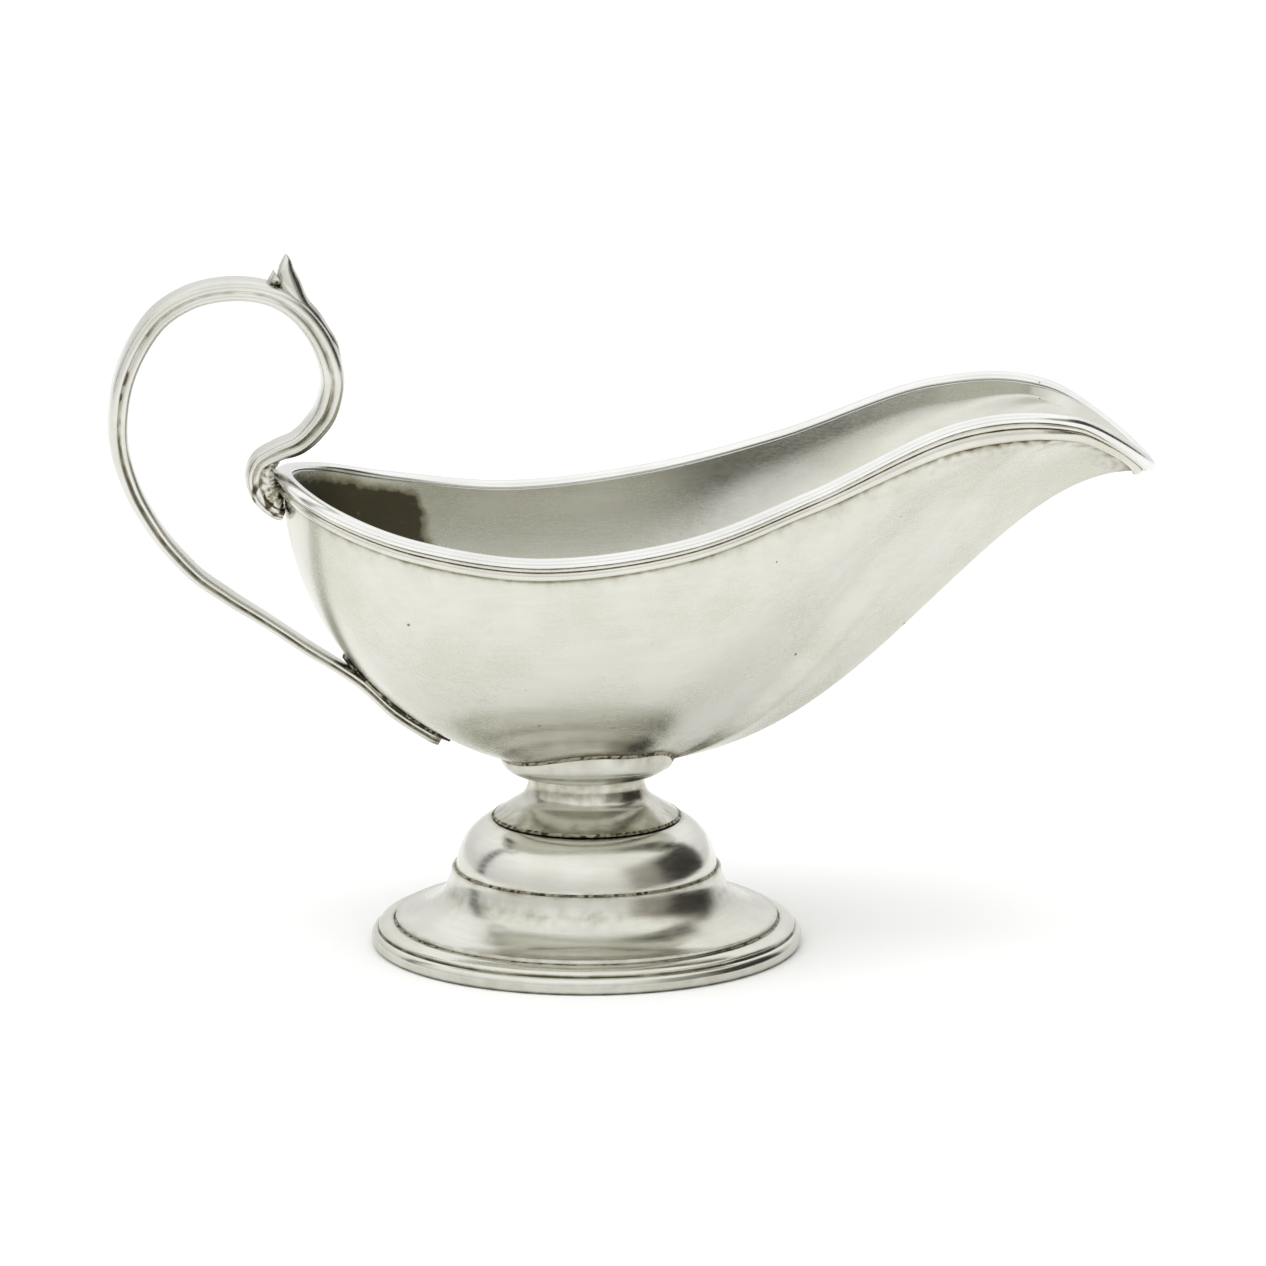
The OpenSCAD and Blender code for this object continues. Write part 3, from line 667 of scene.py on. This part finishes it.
def make_foot():
    spigot, spigot_top = 0.5 * NECK_RADIUS, COLLAR_SEAT + 0.8
    profile = [
        (0.02, STEM_SEAT - 2), (0.5 * STEM_RADIUS, STEM_SEAT - 2), (0.5 * STEM_RADIUS, STEM_SEAT),
        (STEM_RADIUS, STEM_SEAT), (STEM_RADIUS, STEM_SEAT + 0.3),
        *arc((NECK_RADIUS + 5.2, mix(STEM_SEAT, COLLAR_SEAT, 0.83)), (5.2, 5.2), 236, 180),
        (NECK_RADIUS, COLLAR_SEAT), (spigot, COLLAR_SEAT), (spigot, spigot_top), (0.02, spigot_top),
    ]
    # The broad band 34.5 mm high is a painted reflection that darkens the stem's waist; the other two mark
    # the dark joints at its seats
    grooves = [(STEM_RADIUS, STEM_SEAT, 0.45), (NECK_RADIUS, COLLAR_SEAT, 0.4), (NECK_RADIUS, 34.5, 4, 0.4)]
    turned("stem_spool", "stem", profile, grooves)
    bead("stem_seam", "solder_stem", STEM_RADIUS, STEM_SEAT)

    centre = (DOME_RADIUS - 10, DOME_SEAT - 1.1)
    height = STEM_SEAT - centre[1]
    inner = DOME_RADIUS - SHELL
    profile = [
        (0.5 * STEM_RADIUS + GAP, STEM_SEAT), (0.5 * STEM_RADIUS + GAP, STEM_SEAT - SHELL),
        *arc(centre, (10 - SHELL, height - SHELL), 90, 12),
        (inner - SHELL, DOME_SEAT), (inner - SHELL, DOME_SEAT - 2),
        (inner, DOME_SEAT - 2), (inner, DOME_SEAT),
        *arc(centre, (10, height), math.degrees(math.asin(1.1 / height)), 90, 40),
    ]
    grooves = [(STEM_RADIUS + 0.3, STEM_SEAT, 0.6), (DOME_RADIUS, DOME_SEAT, 0.45)]
    turned("dome_step", "dome", profile, grooves)
    bead("dome_seam", "solder_dome", DOME_RADIUS, DOME_SEAT)

    top = DOME_RADIUS + 0.7
    flare = (SKIRT_RADIUS - top + 0.6, DOME_SEAT + 0.9 - SKIRT_RIM)
    centre = (SKIRT_RADIUS + 0.6, DOME_SEAT + 0.9)
    profile = [
        (inner + GAP, DOME_SEAT), (inner + GAP, DOME_SEAT - 2.5),
        *arc(centre, (flare[0] + SHELL, flare[1] + SHELL), 215, 254),
        (SKIRT_RADIUS - 2 * SHELL, 4), (SKIRT_RADIUS, 4), (SKIRT_RADIUS, SKIRT_RIM),
        *arc(centre, flare, 266, 184.6, 40),
        (top, DOME_SEAT),
    ]
    grooves = [(DOME_RADIUS + 0.3, DOME_SEAT, 0.5), (SKIRT_RADIUS, SKIRT_RIM - 0.7, 0.5),
               (DOME_RADIUS + 2, 12.5, 3, 0.3)]
    turned("skirt_flare", "skirt", profile, grooves)
    profile = [(SKIRT_RADIUS - 0.1, 4), (SKIRT_RADIUS + 0.5, 4), (SKIRT_RADIUS + 0.4, RING_HEIGHT - 0.2),
               (SKIRT_RADIUS - 0.1, RING_HEIGHT + 0.1)]
    turned("skirt_seam", "solder_skirt", profile, slot="solder", material=solder_metal,
           corner=0.1, rough=0.04)

    rebate, step, step_height = SKIRT_RADIUS + 0.4, FOOT_RADIUS - 1.5, 3.6
    profile = [
        (SKIRT_RADIUS - 2.4, 0), (FOOT_RADIUS - 1.3, 0),
        *arc((FOOT_RADIUS - 1.3, 1.8), (1.3, 1.8), -90, 78),
        (step, step_height - 0.1), (step, step_height + 0.2),
        *arc((rebate + 0.3, step_height), (step - rebate, RING_HEIGHT - step_height), 20, 90, 16),
        (rebate, RING_HEIGHT), (rebate, 4), (SKIRT_RADIUS - 1.6, 4), (SKIRT_RADIUS - 1.6, 1.4),
        (SKIRT_RADIUS - 2.4, 0.6),
    ]
    grooves = [(rebate, RING_HEIGHT - 0.2, 0.3), (step, step_height, 0.3), (FOOT_RADIUS - 0.8, 0, 0.5),
               (FOOT_RADIUS, 1.8, 1.5, 0.2)]
    turned("base_ring", "foot_ring", profile, grooves, corner=0.2)


make_hull()
make_mouldings()
make_handle()
make_spur()
make_handle_solder()
make_collar()
make_foot()

# ---- Floor, light and camera -----------------------------------------------


def make_floor():
    mesh = bpy.data.meshes.new("studio_floor")
    work = bmesh.new()
    bmesh.ops.create_grid(work, x_segments=8, y_segments=8, size=6)
    work.to_mesh(mesh)
    work.free()
    material = bpy.data.materials.new("floor_white")
    material.use_nodes = True
    n = Nodes(material.node_tree)
    shader = n.add("ShaderNodeBsdfDiffuse", {"Color": (0.93, 0.93, 0.925, 1)})
    n.feed(n.add("ShaderNodeOutputMaterial").inputs[0], shader.outputs[0])
    mesh.materials.append(material)
    floor = bpy.data.objects.new("studio_floor", mesh)
    bpy.context.scene.collection.objects.link(floor)


def make_world():
    """A white studio with a broad dark flag on the right and a narrow one on the left."""
    world = bpy.data.worlds.new("studio")
    bpy.context.scene.world = world
    world.use_nodes = True
    n = Nodes(world.node_tree)
    split = n.add("ShaderNodeSeparateXYZ", {0: n.add("ShaderNodeTexCoord").outputs["Generated"]})
    x, y, z = split.outputs
    azimuth = n.math("ARCTAN2", x, n.math("MULTIPLY", y, -1.0))

    def window(value, low, high, soft):
        opens = n.ramp(value, low - soft, low + soft)
        return n.math("MULTIPLY", opens, n.ramp(value, high - soft, high + soft, 1.0, 0.0))

    right = n.math("MULTIPLY", window(azimuth, 0.6, 2.14, 0.07), n.ramp(z, 0.56, 0.74, 1.0, 0.0))
    right = n.math("MULTIPLY", right, n.ramp(azimuth, 1.08, 1.28, 0.6, 0.95))
    left = n.math("MULTIPLY", window(azimuth, -2.07, -1.89, 0.03), n.ramp(z, 0.56, 0.72, 0.85, 0.0))
    level = n.math("SUBTRACT", n.ramp(z, 0.05, 0.7, 0.88, 1.22), n.ramp(z, 0.85, 1.0, 0.0, 0.15))
    level = n.math("MULTIPLY", level, n.math("SUBTRACT", 1.0, right))
    level = n.math("MULTIPLY", level, n.math("SUBTRACT", 1.0, left))
    shown = n.add("ShaderNodeLightPath").outputs["Is Camera Ray"]
    strength = n.math("MAXIMUM", level, shown)
    tint = n.blend(right, (1, 1, 1, 1), (1, 0.93, 0.8, 1))
    background = n.add("ShaderNodeBackground", {"Color": tint, "Strength": strength})
    n.feed(n.add("ShaderNodeOutputWorld").inputs[0], background.outputs[0])


def make_light(name, spot, aim, size, power):
    data = bpy.data.lights.new(name, "AREA")
    data.shape, data.size, data.energy = "DISK", size, power
    light = bpy.data.objects.new(name, data)
    light.location = spot
    light.rotation_mode = "QUATERNION"
    light.rotation_quaternion = (Vector(aim) - Vector(spot)).to_track_quat("-Z", "Y")
    light.visible_camera = False
    light.visible_glossy = False
    bpy.context.scene.collection.objects.link(light)


def make_camera():
    azimuth, elevation, distance = math.radians(-5.5), math.radians(13.0), 2.4
    target = Vector((0.009756, 0.0, 0.066105))
    back = Vector((
        math.sin(azimuth) * math.cos(elevation),
        -math.cos(azimuth) * math.cos(elevation),
        math.sin(elevation),
    ))
    data = bpy.data.cameras.new("camera")
    data.sensor_width = 36.0
    data.lens = 11533.4 * 36.0 / 1266
    data.clip_start, data.clip_end = 0.05, 50.0
    camera = bpy.data.objects.new("camera", data)
    camera.location = target + distance * back
    camera.rotation_mode = "QUATERNION"
    camera.rotation_quaternion = (-back).to_track_quat("-Z", "Y")
    bpy.context.scene.collection.objects.link(camera)
    bpy.context.scene.camera = camera


make_floor()
make_world()
make_light("key_softbox", (-0.15, -0.35, 1.9), (0, 0, 0.0), 1.8, 13)
make_camera()
scene = bpy.context.scene
scene.view_settings.view_transform = "Standard"
scene.view_settings.look = "None"

bpy.context.view_layer.update()
